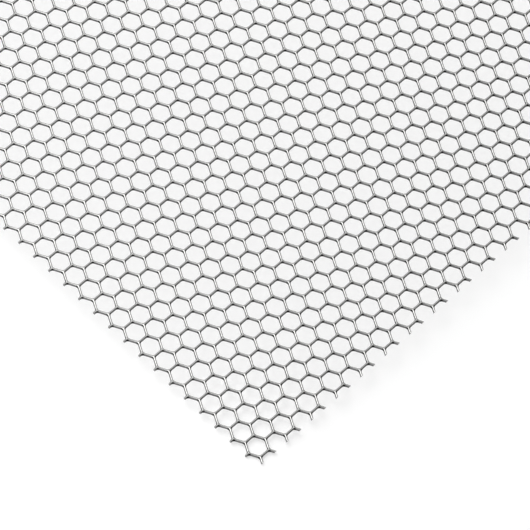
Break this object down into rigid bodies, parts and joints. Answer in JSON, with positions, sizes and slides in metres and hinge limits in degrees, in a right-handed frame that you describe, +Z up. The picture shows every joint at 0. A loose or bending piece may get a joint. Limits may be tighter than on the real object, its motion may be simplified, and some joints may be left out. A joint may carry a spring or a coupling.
{
  "type": "perforated metal sheet",
  "caption": "Flat perforated metal sheet with six-sided holes in staggered rows and sheared edges that run through the holes.",
  "frame": {"origin": "centre of the sheet's underside, on the surface it lies on", "axes": "+X along the rows of holes, +Y across the rows, +Z up through the thickness, out of the punched face"},
  "size_m": [0.2, 0.2, 0.001],
  "materials": {
    "sheet_metal": "bare stainless steel, mill finish, with sheared edges"
  },
  "bodies": {
    "root": {"perforated_sheet": "sheet_metal"}
  },
  "joints": []
}
